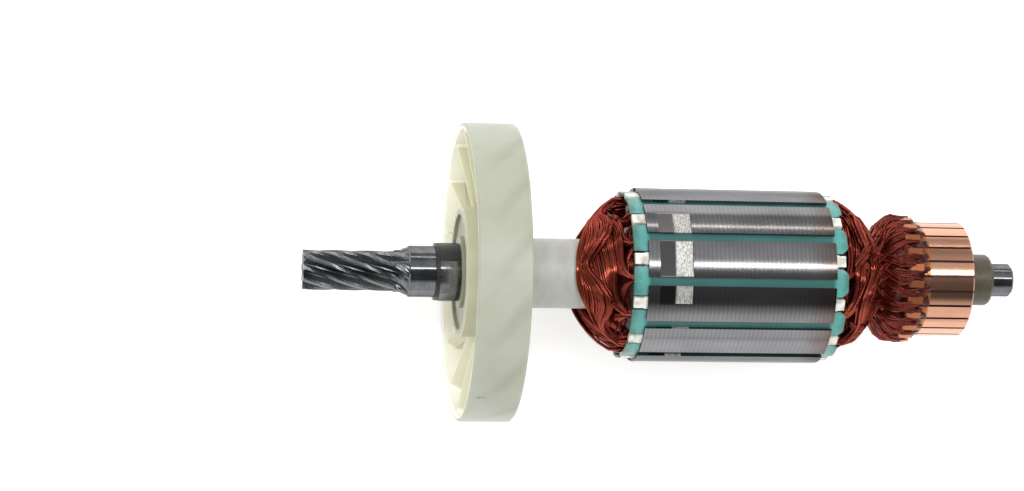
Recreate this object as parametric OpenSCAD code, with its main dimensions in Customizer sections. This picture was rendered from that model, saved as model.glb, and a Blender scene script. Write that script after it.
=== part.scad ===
// Wound armature of a universal motor, with its cooling fan and helical pinion.
// The shaft lies along +X, from the pinion to the commutator. The origin is on the axis,
// at the shoulder where the drive-end bearing seats.

/* [Shaft] */
// Diameter of the drive-end bearing journal
drive_journal_d = 12; // [11.9:0.05:12.1]
// Length of the drive-end journal, from the shoulder to the cone
drive_journal_l = 6; // [5:0.5:7]
// Diameter of the rear bearing journal
rear_journal_d = 8; // [7.9:0.05:8.1]
// Length of the rear journal, with its chamfer
rear_journal_l = 5.6; // [5:0.2:8]
// Overall length from the pinion tip to the rear end
overall_l = 170.9; // [168:0.1:174]

/* [Pinion] */
// Number of helical teeth
pinion_teeth = 9; // [7:1:11]
// Diameter over the tooth tips
pinion_tip_d = 9.36; // [9:0.02:9.6]
// Depth of a tooth
pinion_tooth_h = 1.8; // [1.4:0.1:2]
// Turn of the helix, in degrees for each millimetre
pinion_twist = 5.26; // [4:0.01:6]
// Distance from the shoulder to the pinion tip
pinion_reach = 30.65; // [29:0.05:32]

/* [Fan] */
// Outer diameter of the shroud
fan_d = 70; // [68:0.5:72]
// Width of the fan along the shaft
fan_w = 12.2; // [11:0.1:13]
// Wall of the shroud
fan_wall = 1.4; // [1.2:0.1:2]
// Outer diameter of the hub
fan_hub_d = 30.4; // [29:0.2:32]
// Number of blades
fan_blades = 15; // [12:1:16]
// Greatest thickness of a blade
blade_t = 2.4; // [1.6:0.1:2.6]
// Turn of a blade behind its straight front part, in degrees
blade_sweep = 16; // [12:1:17]

/* [Core] */
// Diameter of the lamination stack
core_d = 41; // [40.5:0.1:41.5]
// Length of the lamination stack
core_l = 44.3; // [43:0.1:46]
// Number of slots
slots = 12; // [12:1:12]
// Opening of a slot at the surface of the core
slot_mouth = 2.1; // [1.8:0.1:2.4]
// Width of the shank of a pole
pole_shank = 3; // [2.8:0.1:3.2]

/* [Commutator] */
// Diameter of the brush track
comm_d = 27.5; // [27:0.1:28]
// Number of commutator bars
bars = 24; // [24:1:24]
// Gap between two bars, in degrees
bar_gap = 2.4; // [2:0.1:3]
// Width of the hook of a bar
hook_w = 1.6; // [1.4:0.1:1.8]

/* [Hidden] */
$fn = 96;
e = 0.01;

function two(i) = str(i < 10 ? "0" : "", i);

// Stations along the shaft
bush_flange = 0.9;
ring_end = 5.8;
fan_x = 5.9;
fan_end = fan_x + fan_w;
core_x = 47.2;
core_end = core_x + core_l;
hub_x = 107.4;
hook_x = 110.4;
bar_x = 113.4;
comm_end = 127;
rear_end = overall_l - pinion_reach;
nose_end = rear_end - rear_journal_l;

// Radii
journal_r = drive_journal_d / 2;
seat_r = journal_r + 0.25;
rear_seat_r = rear_journal_d / 2 + 1;
ring_r = 6.85;
bush_r = 6.72;
key_r = 6.55;
sleeve_r = 8.2;
sleeve_core_r = 7.2;
nose_r = 6.2;
bar_r = comm_d / 2;
bar_in_r = 10;
core_r = core_d / 2;

// Slots: the first slot, counted from +Y towards +Z
slot_pitch = 360 / slots;
slot_a0 = 3.4 - 5 * slot_pitch;
lip_r = core_r - 0.82;
wedge_t = 0.5;
wedge_r = lip_r - 0.04;
slot_floor = 12.6;
liner_t = 0.25;
post_drive = 3.1;
post_comm = 2.3;
plate_t = 0.8;

// Windings
coil_span = 5;
dome_r = 8.45;
throw_drive = 14;
throw_comm = 13.3;

// Directions and points round the shaft
function at(x, r, a) = [x, r * cos(a), r * sin(a)];
function unit(v) = v / norm(v);

// Triangles that join rings of n points, with the ends closed or the last ring joined to the first
function side_faces(m, n, loop) = [
    for (i = [0:(loop ? m - 1 : m - 2)], k = [0:n - 1], half = [0, 1])
        let (a = i * n, b = ((i + 1) % m) * n, k2 = (k + 1) % n)
            half == 0 ? [a + k, b + k, b + k2] : [a + k, b + k2, a + k2]
];
function end_faces(m, n) = [[for (k = [0:n - 1]) k], [for (k = [n - 1:-1:0]) (m - 1) * n + k]];
module skin(rings, loop = false) {
    m = len(rings);
    n = len(rings[0]);
    polyhedron(
        points = [for (r = rings) for (p = r) p],
        faces = concat(side_faces(m, n, loop), loop ? [] : end_faces(m, n)),
        convexity = 8
    );
}

// A turned solid: the profile is [x, radius] and turns about the shaft
module turned(profile) {
    rotate([0, 90, 0]) rotate([0, 0, 90]) rotate_extrude()
        polygon([for (p = profile) [p[1], p[0]]]);
}
module tube(x0, x1, r0, r1) turned([[x0, r0], [x1, r0], [x1, r1], [x0, r1]]);

// A flat shape in the plane across the shaft, with its x along +Y and its y along +Z
module across(x0, l) {
    translate([x0, 0, 0]) rotate([90, 0, 90]) linear_extrude(height = l) children();
}

// ---- Shaft and pinion ----

// Tooth form over one pitch: [share of the pitch from the tooth's middle, share of its depth lost]
tooth_form = [
    [-0.11, 0], [0.11, 0], [0.21, 0.3], [0.31, 0.72], [0.42, 1],
    [0.58, 1], [0.69, 0.72], [0.79, 0.3]
];
tip_r = pinion_tip_d / 2;
runout_x = -11.6;
cone_end = 0.3;
cone_x = -drive_journal_l - cone_end;
cutter_r = 5.2;
// Behind the teeth: the blank steps out at step_x, and widens from flare_x to the journal
step_x = -9.5;
flare_x = -8;
flare_l = 1.9;
step_r = 4.95;
function blank_r(x) =
    x < step_x ? tip_r
    : x < flare_x ? step_r
    : min(journal_r - cone_end - 0.1, step_r + (x - flare_x) * (journal_r - step_r) / flare_l);
function cutter_lift(x) = x < runout_x ? 0 : (x - runout_x) * (x - runout_x) / (2 * cutter_r);
function pinion_ring(x) = [
    for (t = [0:pinion_teeth - 1], f = tooth_form)
        let (a = (t + f[0]) * 360 / pinion_teeth + pinion_twist * (x + pinion_reach))
            at(x, min(blank_r(x), tip_r - f[1] * pinion_tooth_h + cutter_lift(x)), a)
];
teeth_steps = 15;
teeth_x = [for (i = [0:teeth_steps]) -pinion_reach + i * (runout_x + pinion_reach) / teeth_steps];
blank_x = [
    runout_x + 1, step_x - 0.1, step_x + 0.1, flare_x - 0.6, flare_x, flare_x + 0.8,
    cone_x, cone_x + 0.5
];
// Lathe centre in each end: [depth, radius]
centre = [[2.4, 0.6], [1.2, 0.6], [0, 1.4]];
function centre_ring(h) = [
    for (p = pinion_ring(-pinion_reach))
        [h[0] - pinion_reach, p[1] * h[1] / norm([p[1], p[2]]), p[2] * h[1] / norm([p[1], p[2]])]
];
module pinion() {
    skin(concat(
        [for (h = centre) centre_ring(h)],
        [for (x = concat(teeth_x, blank_x)) pinion_ring(x)]
    ));
}

seat_end = core_end + 3;
rear_chamfer = 0.6;
module shaft() color("lightslategray") {
    union() {
        pinion();
        turned(concat(
            [
                [cone_x, 0], [cone_x, journal_r - cone_end], [-drive_journal_l, journal_r],
                [0, journal_r], [0, seat_r], [seat_end, seat_r], [seat_end, rear_seat_r],
                [nose_end, rear_seat_r], [nose_end, rear_journal_d / 2],
                [rear_end - rear_chamfer, rear_journal_d / 2], [rear_end, rear_journal_d / 2 - rear_chamfer]
            ],
            [for (i = [2:-1:0]) [rear_end - centre[i][0], centre[i][1]]],
            [[rear_end - centre[0][0], 0]]
        ));
    }
}

// ---- Spacer on the journal: a black bush whose key fills the gap of a steel ring ----

key_from = -10;
key_to = 68;
module sector(a0, a1, x0, x1, r0, r1) {
    rotate([a0, 0, 0]) rotate([0, 90, 0]) rotate([0, 0, 90]) rotate_extrude(angle = a1 - a0)
        polygon([[r0, x0], [r1, x0], [r1, x1], [r0, x1]]);
}
module spacer_bush() color("dimgray") difference() {
    union() {
        tube(0, bush_flange, 0, bush_r);
        sector(key_from, key_to, 0, ring_end, seat_r - 1, key_r);
    }
    tube(-1, ring_end + 1, 0, seat_r);
}
module spacer_ring() color("silver") {
    sector(key_to, key_from + 360, bush_flange, ring_end, seat_r, ring_r);
}

// ---- Fan ----

fan_r = fan_d / 2;
hub_r = fan_hub_d / 2;
edge_r = 0.45;
hub_end = fan_end - 0.8;
// Stations of a blade from the front of the fan: its front edge at the rim and at the hub, the
// start of its turn, and its rear edge
blade_rim_x = 0.6;
blade_hub_x = 4.3;
blade_turn_x = 4.2;
blade_end_x = fan_w - 0.5;
blade_a0 = 23;
blade_edge_t = 0.5;
blade_steps = [0, 0.16, 0.32, 0.48, 0.66, 0.84, 1];
// A point of a blade at radius r and a share u of its width; side is 0 on its front face, 1 on its back
function blade_point(r, u, side) =
    let (
        front = blade_rim_x + (blade_hub_x - blade_rim_x) * (fan_r - r) / (fan_r - hub_r),
        x = front + u * (blade_end_x - front),
        turn = blade_sweep * max(0, x - blade_turn_x) / (blade_end_x - blade_turn_x),
        t = blade_edge_t + (blade_t - blade_edge_t) * sin(180 * pow(u, 0.66))
    )
        at(fan_x + x, r, -turn - side * t / r * 180 / PI);
function blade_ring(r) = concat(
    [for (u = blade_steps) blade_point(r, u, 0)],
    [for (k = [len(blade_steps) - 1:-1:0]) blade_point(r, blade_steps[k], 1)]
);
module blade() {
    skin([for (r = [hub_r - 0.5, (hub_r + fan_r) / 2, fan_r - fan_wall / 2]) blade_ring(r)]);
}
// Ring recesses of the hub: [depth, inner radius, thickness of the rim left outside]
front_recess = [0.7, 8.4, 1.7];
back_recess = [fan_w - 4.5, 9.6, 2.2];
module fan() color("beige") {
    difference() {
        union() {
            turned([
                [ring_end, seat_r], [ring_end, hub_r - edge_r], [ring_end + edge_r, hub_r],
                [hub_end, hub_r], [hub_end, seat_r]
            ]);
            turned([
                [fan_x, fan_r - fan_wall + edge_r], [fan_x, fan_r - edge_r], [fan_x + edge_r, fan_r],
                [fan_end - edge_r, fan_r], [fan_end, fan_r - edge_r], [fan_end, fan_r - fan_wall + edge_r],
                [fan_end - edge_r, fan_r - fan_wall], [fan_x + edge_r, fan_r - fan_wall]
            ]);
            for (i = [0:fan_blades - 1]) rotate([blade_a0 + i * 360 / fan_blades, 0, 0]) blade();
        }
        tube(fan_x - 1, fan_x + front_recess[0], front_recess[1], hub_r - front_recess[2]);
        tube(fan_end - back_recess[0], fan_end, back_recess[1], hub_r - back_recess[2]);
    }
}

// ---- Insulating sleeve ----

module shaft_sleeve() color("whitesmoke") {
    turned([
        [hub_end, seat_r], [hub_end, sleeve_r], [core_x - plate_t, sleeve_r],
        [core_x - plate_t, sleeve_core_r], [core_end + plate_t, sleeve_core_r],
        [core_end + plate_t, sleeve_r], [hub_x, sleeve_r], [hub_x, rear_seat_r],
        [seat_end, rear_seat_r], [seat_end, seat_r]
    ]);
}

// ---- Laminated core ----

// Outline of a slot, centred on +Y, set in by inset from the steel
function slot_edge(y, inset) =
    let (a = slot_pitch / 2, w = pole_shank / 2 + inset, s = (y - w * sin(a)) / cos(a))
        s * sin(a) - w * cos(a);
slot_corner = 0.5;
module slot_shape(inset, top_r) {
    low = slot_floor + slot_corner;
    intersection() {
        polygon([
            [slot_floor + inset, -slot_edge(slot_floor, inset) + slot_corner],
            [low, -slot_edge(low, inset)],
            [core_r, -slot_edge(core_r, inset)],
            [core_r, slot_edge(core_r, inset)],
            [low, slot_edge(low, inset)],
            [slot_floor + inset, slot_edge(slot_floor, inset) - slot_corner]
        ]);
        circle(r = top_r);
    }
}
function slot_angle(i) = slot_a0 + i * slot_pitch;
// Flats ground near the drive end, to balance the armature: [pole, depth, first angle from its middle]
balance_cuts = [[6, 0.28, 6], [7, 0.45, 0], [8, 0.22, -8]];
balance_x = core_x + 2.6;
balance_l = 7.8;
module core() color("slategray") {
    difference() {
        across(core_x, core_l) difference() {
            circle(r = core_r);
            circle(r = sleeve_core_r);
            for (i = [0:slots - 1]) rotate(slot_angle(i)) {
                slot_shape(0, lip_r);
                translate([lip_r - 1, -slot_mouth / 2]) square([core_r, slot_mouth]);
            }
        }
        for (c = balance_cuts)
            rotate([slot_angle(c[0]) + slot_pitch / 2 + c[2], 0, 0])
                translate([balance_x, core_r - c[1], -core_r / 2]) cube([balance_l, core_r, core_r]);
    }
}

// Moulded end plates, with a post on each pole that holds the end turns back
post_w = 2.5;
post_t = 1.2;
post_r = lip_r + 0.1;
plate_gap = 0.1;
module end_plate(x, way, post_l) {
    union() {
        across(way > 0 ? x : x - plate_t, plate_t) difference() {
            union() {
                circle(r = slot_floor - plate_gap);
                for (i = [0:slots - 1]) rotate(slot_angle(i) + slot_pitch / 2)
                    translate([slot_floor - 1, -pole_shank / 2 + plate_gap])
                        square([post_r - slot_floor + 1, pole_shank - 2 * plate_gap]);
            }
            circle(r = sleeve_r);
        }
        for (i = [0:slots - 1]) rotate([slot_angle(i) + slot_pitch / 2, 0, 0])
            translate([way > 0 ? x : x - post_l, post_r - post_t, -post_w / 2])
                cube([post_l, post_t, post_w]);
    }
}
module end_insulator_drive() color("white") end_plate(core_x, -1, post_drive);
module end_insulator_comm() color("white") end_plate(core_end, 1, post_comm);

// Slot liners: folded sheet round the coils in each slot
module slot_liners() color("mediumaquamarine") {
    for (i = [0:slots - 1]) rotate([slot_angle(i), 0, 0])
        across(core_x - plate_t, core_l + 2 * plate_t) difference() {
            slot_shape(0, wedge_r - wedge_t);
            slot_shape(liner_t, core_r);
        }
}

// Slot wedges: curved strips under the pole tips, rounded at the commutator end
wedge_half = 9.6;
wedge_drive = 3.3;
wedge_comm = 3;
lobe_r = 3.6;
module slot_wedge(i) color("mediumturquoise") {
    a = slot_angle(i);
    half_w = wedge_r * sin(wedge_half);
    intersection() {
        sector(a - wedge_half, a + wedge_half, core_x - wedge_drive, core_end + wedge_comm,
            wedge_r - wedge_t, wedge_r);
        rotate([a, 0, 0]) rotate([-90, 0, 0]) linear_extrude(height = core_r) union() {
            translate([core_x - wedge_drive, -half_w]) square([core_l + wedge_drive + 1, 2 * half_w]);
            translate([core_end, 0]) intersection() {
                circle(r = lobe_r);
                translate([0, -lobe_r]) square([wedge_comm, 2 * lobe_r]);
            }
        }
    }
}

// ---- Coils ----
// Each coil lies in two slots, five apart. The coils are wound in six pairs, and the ends of each
// pair lie in a dome of their own, outside the dome of the pair before.

function dome_rim(j) = 13.5 + j;
function dome_depth(j, side) =
    (side > 0 ? throw_comm - 1.84 * (5 - j) : throw_drive - 1.9 * (5 - j)) - plate_t;
function dome_radius(j, side, d) =
    dome_r + (dome_rim(j) - dome_r) * (1 - pow(d / dome_depth(j, side), 2));
function dome_slope(j, side, d) =
    -2 * (dome_rim(j) - dome_r) * d / pow(dome_depth(j, side), 2);
// A point on dome j, at depth d and angle a, lifted by off along the dome's normal
function dome_point(j, side, d, a, off) =
    let (s = dome_slope(j, side, d), l = sqrt(1 + s * s))
        at((side > 0 ? core_end : core_x) + side * (plate_t + d - off * s / l),
            dome_radius(j, side, d) + off / l, a);
// The path over a dome, as [depth, angle from the first slot]: down to the middle circle, then round it
turn_share = 0.62;
function turn_depth(j, side) = dome_depth(j, side) * turn_share;
function turn_angle(j, side, d) =
    let (rc = dome_radius(j, side, turn_depth(j, side)))
        acos(rc / dome_rim(j)) - acos(min(1, rc / dome_radius(j, side, d)));
half_turn = coil_span * slot_pitch / 2;
turn_steps = [0.22, 0.42, 0.6, 0.8, 1];
round_steps = [-0.67, -0.33, 0, 0.33, 0.67];
function turn_path(j, side) =
    let (
        d1 = turn_depth(j, side),
        down = [for (v = turn_steps) [v * d1, turn_angle(j, side, v * d1)]]
    )
        concat(
            down,
            [for (v = round_steps) [d1, half_turn + v * (half_turn - down[len(down) - 1][1])]],
            [for (i = [len(down) - 1:-1:0]) [down[i][0], 2 * half_turn - down[i][1]]]
        );
// A ring of the coil across its path: three points above the dome and three below
across_w = [-1, 0, 1];
function turn_ring(j, side, a0, path, i, w, h) =
    let (
        p = path[i],
        q0 = i == 0 ? [0, 0] : path[i - 1],
        q1 = i == len(path) - 1 ? [0, 2 * half_turn] : path[i + 1],
        r = dome_radius(j, side, p[0]),
        l = sqrt(1 + pow(dome_slope(j, side, p[0]), 2)),
        t = unit([(q1[0] - q0[0]) * l, (q1[1] - q0[1]) * r * PI / 180])
    )
        concat(
            [for (b = across_w) turn_edge(j, side, a0, p, t, b * w, l, r, h)],
            [for (k = [2:-1:0]) turn_edge(j, side, a0, p, t, across_w[k] * w, l, r, -h)]
        );
function turn_edge(j, side, a0, p, t, b, l, r, off) =
    dome_point(j, side, min(dome_depth(j, side), max(0, p[0] - b * t[1] / l)),
        a0 + side * (p[1] + b * t[0] / r * 180 / PI), off);
// A ring of the straight side in its slot, seen along the path's way
function leg_ring(x, r, a, w, h, way) = concat(
    [for (b = across_w) leg_point(x, r + h, a, way * b * w)],
    [for (k = [2:-1:0]) leg_point(x, r - h, a, way * across_w[k] * w)]
);
function leg_point(x, r, a, b) = [x, r * cos(a) - b * sin(a), r * sin(a) + b * cos(a)];
// Legs at the bottom and at the top of a slot: [middle radius, half width, half height]
leg_low = [14.3, 1.4, 1.25];
leg_high = [17.3, 2, 1.4];
turn_w = [1.6, 2, 2.5, 3, 3.5, 4];
turn_h = 0.42;
function end_rings(j, side, a0, w0, w1) =
    let (path = turn_path(j, side), n = len(path) - 1)
        [
            for (i = [0:n])
                let (
                    s = 1 - abs(2 * i / n - 1),
                    edge = i < n / 2 ? w0 : w1,
                    w = edge + (turn_w[j] - edge) * sin(90 * s),
                    h = turn_h + 0.1 * sin(90 * s)
                )
                    turn_ring(j, side, a0, path, i, w, h)
        ];
module coil(k) color("firebrick") {
    j = k % 6;
    a = slot_angle(k);
    b = slot_angle(k + coil_span);
    first = j == 5 ? leg_high : leg_low;
    last = j == 0 ? leg_low : leg_high;
    skin(concat(
        [leg_ring(core_x - plate_t, first[0], a, first[1], first[2], 1)],
        [leg_ring(core_end + plate_t, first[0], a, first[1], first[2], 1)],
        end_rings(j, 1, a, first[1], last[1]),
        [leg_ring(core_end + plate_t, last[0], b, last[1], last[2], -1)],
        [leg_ring(core_x - plate_t, last[0], b, last[1], last[2], -1)],
        end_rings(j, -1, b, last[1], first[1])
    ), true);
}

// ---- Lead wires: from the waist of the winding up to the hooks ----

// Route of one lead: [x, radius, angle before its hook]
lead_route = [
    [104.6, 8.65, 33], [105.6, 9.9, 26], [106.3, 11.4, 20], [107.1, 12.9, 15],
    [108.5, 14.2, 10], [110.4, 14.6, 7.5], [112.3, 14.1, 7.5], [bar_x + e, 13, 7.5]
];
lead_w = [0.5, 0.7, 0.85, 0.95, 1, 0.95, 0.9, 0.8];
lead_h = 0.55;
lead_sides = 6;
function lead_ring(i, a) =
    let (
        q0 = lead_route[max(0, i - 1)],
        q1 = lead_route[min(len(lead_route) - 1, i + 1)],
        p = lead_route[i],
        t = unit(at(q1[0], q1[1], a - q1[2]) - at(q0[0], q0[1], a - q0[2])),
        c = at(p[0], p[1], a - p[2]),
        r = at(0, 1, a - p[2]),
        n = unit(r - t * (r * t)),
        b = cross(t, n)
    )
        [for (k = [0:lead_sides - 1])
            let (f = -k * 360 / lead_sides) c + b * lead_w[i] * cos(f) + n * lead_h * sin(f)];
module lead_wires() color("darkred") {
    for (i = [0:bars - 1]) skin([for (s = [0:len(lead_route) - 1]) lead_ring(s, bar_angle(i))]);
}

// ---- Commutator ----

bar_pitch = 360 / bars;
bar_a0 = 4;
function bar_angle(i) = bar_a0 + i * bar_pitch;
// The resin fills the gaps between the bars up to fin_r, and stops short of their ends
fin_r = bar_r - 0.7;
fin_from = bar_x + 0.6;
fin_to = comm_end - 0.3;
neck_l = 1.5;
// Rounded end of the nose: [distance from its end, depth under its surface]
nose_round = [[0.9, 0], [0.3, 0.35], [0, 1]];
module commutator_hub() color("darkkhaki") {
    union() {
        turned(concat(
            [
                [hub_x, rear_seat_r], [hub_x, sleeve_r], [bar_x - neck_l, sleeve_r],
                [bar_x, bar_in_r], [comm_end, bar_in_r], [comm_end, nose_r]
            ],
            [for (p = nose_round) [nose_end - p[0], nose_r - p[1]]],
            [[nose_end, rear_seat_r]]
        ));
        for (i = [0:bars - 1])
            sector(bar_angle(i) + (bar_pitch - bar_gap) / 2, bar_angle(i) + (bar_pitch + bar_gap) / 2,
                fin_from, fin_to, bar_in_r - 0.2, fin_r);
    }
}

hook_t = 0.7;
hook_low = bar_r - 0.75;
hook_high = bar_r + 1.45;
hook_l = 2.6;
bar_edge = 0.35;
module hook_profile() {
    mid = (hook_low + hook_high) / 2;
    outer = (hook_high - hook_low) / 2;
    translate([hook_x + outer, mid]) difference() {
        circle(r = outer);
        circle(r = outer - hook_t);
        translate([0, -outer - 1]) square([outer + 1, 2 * outer + 2]);
    }
    translate([hook_x + outer, hook_low]) square([bar_x - hook_x - outer + 0.5, hook_t]);
    translate([hook_x + outer, hook_high - hook_t]) square([hook_l, hook_t]);
}
module commutator_bar(i) color("peru") {
    a = bar_angle(i);
    half = (bar_pitch - bar_gap) / 2;
    union() {
        rotate([a - half, 0, 0]) rotate([0, 90, 0]) rotate([0, 0, 90]) rotate_extrude(angle = 2 * half)
            polygon([
                [bar_in_r, bar_x], [bar_r - bar_edge, bar_x], [bar_r, bar_x + bar_edge],
                [bar_r, comm_end - bar_edge], [bar_r - bar_edge, comm_end], [bar_in_r, comm_end]
            ]);
        rotate([a, 0, 0]) translate([0, 0, -hook_w / 2]) linear_extrude(height = hook_w) hook_profile();
    }
}

shaft();
spacer_bush();
spacer_ring();
fan();
shaft_sleeve();
core();
end_insulator_drive();
end_insulator_comm();
slot_liners();
for (i = [1:slots]) slot_wedge(i - 1);
for (i = [1:slots]) coil(i - 1);
lead_wires();
commutator_hub();
for (i = [1:bars]) commutator_bar(i - 1);
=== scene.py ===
"""Looks of a wound motor armature: the finish of every piece, its single wires and a small studio."""

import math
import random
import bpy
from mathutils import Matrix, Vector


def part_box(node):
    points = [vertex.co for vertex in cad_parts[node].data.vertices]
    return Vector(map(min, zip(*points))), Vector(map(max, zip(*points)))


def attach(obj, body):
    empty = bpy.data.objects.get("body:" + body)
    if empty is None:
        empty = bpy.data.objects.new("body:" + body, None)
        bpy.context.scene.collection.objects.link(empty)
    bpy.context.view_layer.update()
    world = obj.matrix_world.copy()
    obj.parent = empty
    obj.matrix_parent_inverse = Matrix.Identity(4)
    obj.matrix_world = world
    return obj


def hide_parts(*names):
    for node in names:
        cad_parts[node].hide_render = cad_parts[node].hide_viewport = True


bl_info = {
    "name": "Motor armature looks",
    "version": (1, 0, 0),
    "blender": (4, 5, 0),
    "location": "View3D > Sidebar > Armature",
    "description": "Winds the single wires of a motor armature and gives each of its pieces a finish",
    "category": "Object",
}

from collections import namedtuple

import bpy
from mathutils import Matrix, Vector, noise

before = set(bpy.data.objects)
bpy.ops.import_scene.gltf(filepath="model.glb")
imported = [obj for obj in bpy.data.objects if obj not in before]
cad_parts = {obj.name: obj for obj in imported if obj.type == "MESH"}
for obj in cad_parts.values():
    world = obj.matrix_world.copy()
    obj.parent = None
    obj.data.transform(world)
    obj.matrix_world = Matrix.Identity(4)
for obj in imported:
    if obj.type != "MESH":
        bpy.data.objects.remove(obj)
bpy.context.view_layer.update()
MM = 0.001
# The frame's own materials bear the slots' names, so the finishes made here get this ending
FINISH = "_finish"

# Sizes that the frame gives, in millimetres. PLATE is how far the insulation stands out of the core.
CORE_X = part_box("core")[0][0] / MM
CORE_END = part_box("core")[1][0] / MM
CORE_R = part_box("core")[1][2] / MM
PLATE = CORE_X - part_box("slot_liners")[0][0] / MM
FAN_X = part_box("fan")[0][0] / MM
FAN_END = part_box("fan")[1][0] / MM
FAN_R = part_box("fan")[1][2] / MM
BAR_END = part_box("commutator_bar_01")[1][0] / MM
HUB_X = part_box("commutator_hub")[0][0] / MM
# The floor touches the fan's rim; this one is in metres
FLOOR_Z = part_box("fan")[0][2]

# The core and the commutator, as in the solid model, in millimetres and degrees
SHEET = 0.5
SLOTS = 12
SLOT_PITCH = 360 / SLOTS
COIL_SPAN = 5
FIRST_SLOT = 3.4 - COIL_SPAN * SLOT_PITCH
BARS = 24
BAR_PITCH = 360 / BARS
FIRST_BAR = 4.0
BAR_R = 13.75

# The fan's blades: the turn behind their straight front part, where it starts, and the middle of one
BLADES = 15
BLADE_PITCH = 360 / BLADES
BLADE_SWEEP = 16.0
BLADE_TURN_X = 4.2
BLADE_MIDDLE = 21.0

# Places along the shaft where a finish changes: the end of the pinion's teeth, the flats cut for balance
# and where they turn rough, and the edge of the varnish on the bars
PINION_END = -7.5
FLAT_X = 49.85
FLAT_BRIGHT = 53.6
FLAT_END = 57.55
STAIN_END = 116.2

# The bowls in which the coils turn, six nested ones at each end: how many, the pole's radius and how near
# the sleeve a wire may come, the innermost rim, and by side the outermost bowl's throw and the step inwards
LAYERS = 6
DOME_POLE = 8.45
SLEEVE_GAP = 0.2
INNER_RIM = 13.5
THROWS = {1: (13.3, 1.84), -1: (14.0, 1.9)}
# How many knots a wire has on its way in and on the arc, how they crowd at the slot, and how far past the
# bowl's pole a wire may go
LEAD_IN_KNOTS = 9
ARC_KNOTS = 6
CROWDING = 1.6
PAST_POLE = 0.9
# How far a bundle strays off the bowl, then how far a wire strays in its bundle: in share of the depth,
# along the shaft and off the bowl. Last, how far a leg is drawn into its slot.
BUNDLE_LIFT = 0.4
WIRE_SHARE = 0.015
WIRE_STRAY = 0.12
WIRE_LIFT = 0.08
IN_SLOT = 1.5

# The camera: its place over the shaft, its turn to the side and its roll
CAMERA_X = -0.06747
CAMERA_Y = 0.0064
CAMERA_SIDE = 8.575
CAMERA_ROLL = 0.971
SENSOR = 36
# Grey levels of the room, by share of the half turn from +Y over the top to -Y: a grey wall that brightens
# upwards, a dark patch overhead and a bright wall
CEILING = [
    (0.0, 0.32), (0.05, 0.42), (0.09, 0.47), (0.16, 0.28), (0.2, 0.32), (0.25, 0.5), (0.33, 0.57),
    (0.385, 0.48), (0.425, 0.12), (0.71, 0.07), (0.8, 0.82), (1.0, 0.92),
]

ShaftPlace = namedtuple("ShaftPlace", "along radius angle")


def linear(hex_colour):
    """An sRGB colour such as "#8A3020" as linear RGBA."""
    parts = [int(hex_colour[i:i + 2], 16) / 255 for i in (1, 3, 5)]
    return [c / 12.92 if c <= 0.04045 else ((c + 0.055) / 1.055) ** 2.4 for c in parts] + [1]


def tint(colour, share):
    """A linear colour made darker, or lighter with a share above 1."""
    return [c * share for c in colour[:3]] + [1]


# ---- Settings ----


class ArmatureWinding(bpy.types.PropertyGroup):
    """Sizes of the wires"""

    wire: bpy.props.FloatProperty(
        name="Wire", description="Diameter of one enamelled wire", default=0.0005, unit="LENGTH")
    turns: bpy.props.IntProperty(
        name="Turns", description="Wires drawn in each coil", default=44, min=12, max=80)
    bundles: bpy.props.IntProperty(
        name="Bundles", description="Strands of wires that lie side by side in a coil",
        default=6, min=2, max=8)
    wander: bpy.props.FloatProperty(
        name="Wander", description="How far a bundle strays sideways on its way",
        default=0.0003, unit="LENGTH")
    seed: bpy.props.IntProperty(name="Seed", description="Start of the random numbers", default=7)


class ArmatureColours(bpy.types.PropertyGroup):
    """Colours of the finishes, in sRGB"""

    steel: bpy.props.StringProperty(name="Steel", description="Ground steel of the shaft", default="#747679")
    sheet_steel: bpy.props.StringProperty(
        name="Core steel", description="Ground edges of the core's sheets", default="#8C8C8E")
    nylon: bpy.props.StringProperty(name="Fan", description="Natural nylon of the fan", default="#A2A498")
    # The fan's inside: the same nylon, painted lighter than the outside as lit
    nylon_inside_lit: bpy.props.StringProperty(
        name="Fan inside", description="Blades and inner wall of the fan", default="#DAD9BE")
    sleeve: bpy.props.StringProperty(
        name="Sleeve", description="White sleeve of the shaft", default="#A2A39D")
    insulation: bpy.props.StringProperty(
        name="Slot sheet", description="Teal sheet in the slots", default="#4F918C")
    enamel: bpy.props.StringProperty(name="Enamel", description="Enamel of the wires", default="#A84A3A")
    copper: bpy.props.StringProperty(name="Bars", description="Turned copper of the bars", default="#DAA48A")
    resin: bpy.props.StringProperty(name="Resin", description="Moulded commutator nose", default="#464031")


class ArmatureStage(bpy.types.PropertyGroup):
    """Camera and light"""

    lens: bpy.props.FloatProperty(name="Lens", description="Focal length in millimetres", default=86.235)
    distance: bpy.props.FloatProperty(
        name="Height", description="Height of the camera above the shaft", default=0.56955, unit="LENGTH")
    floor: bpy.props.StringProperty(name="Floor", description="Colour of the floor", default="#F4F4F4")


# ---- Materials ----


def set_inputs(tree, node, inputs):
    """Gives a node's inputs their values. An input that is given a socket is linked to it."""
    for key, value in inputs.items():
        if isinstance(value, bpy.types.NodeSocket):
            tree.links.new(value, node.inputs[key])
        else:
            node.inputs[key].default_value = value


def add_node(tree, kind, inputs=None, **settings):
    """Adds one node with its settings and inputs."""
    node = tree.nodes.new(kind)
    for key, value in settings.items():
        setattr(node, key, value)
    set_inputs(tree, node, inputs or {})
    return node


def set_ramp(ramp, stops):
    """Gives a colour ramp its stops: (place, colour), where a colour is a grey level or RGBA."""
    elements = ramp.color_ramp.elements
    for i, (place, colour) in enumerate(stops):
        element = elements[i] if i < 2 else elements.new(place)
        element.position = place
        element.color = colour if isinstance(colour, list) else [colour] * 3 + [1]


def start_material(name):
    """A new node material: (material, its tree, its principled shader)."""
    material = bpy.data.materials.new(name + FINISH)
    material.use_nodes = True
    tree = material.node_tree
    return material, tree, tree.nodes["Principled BSDF"]


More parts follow.
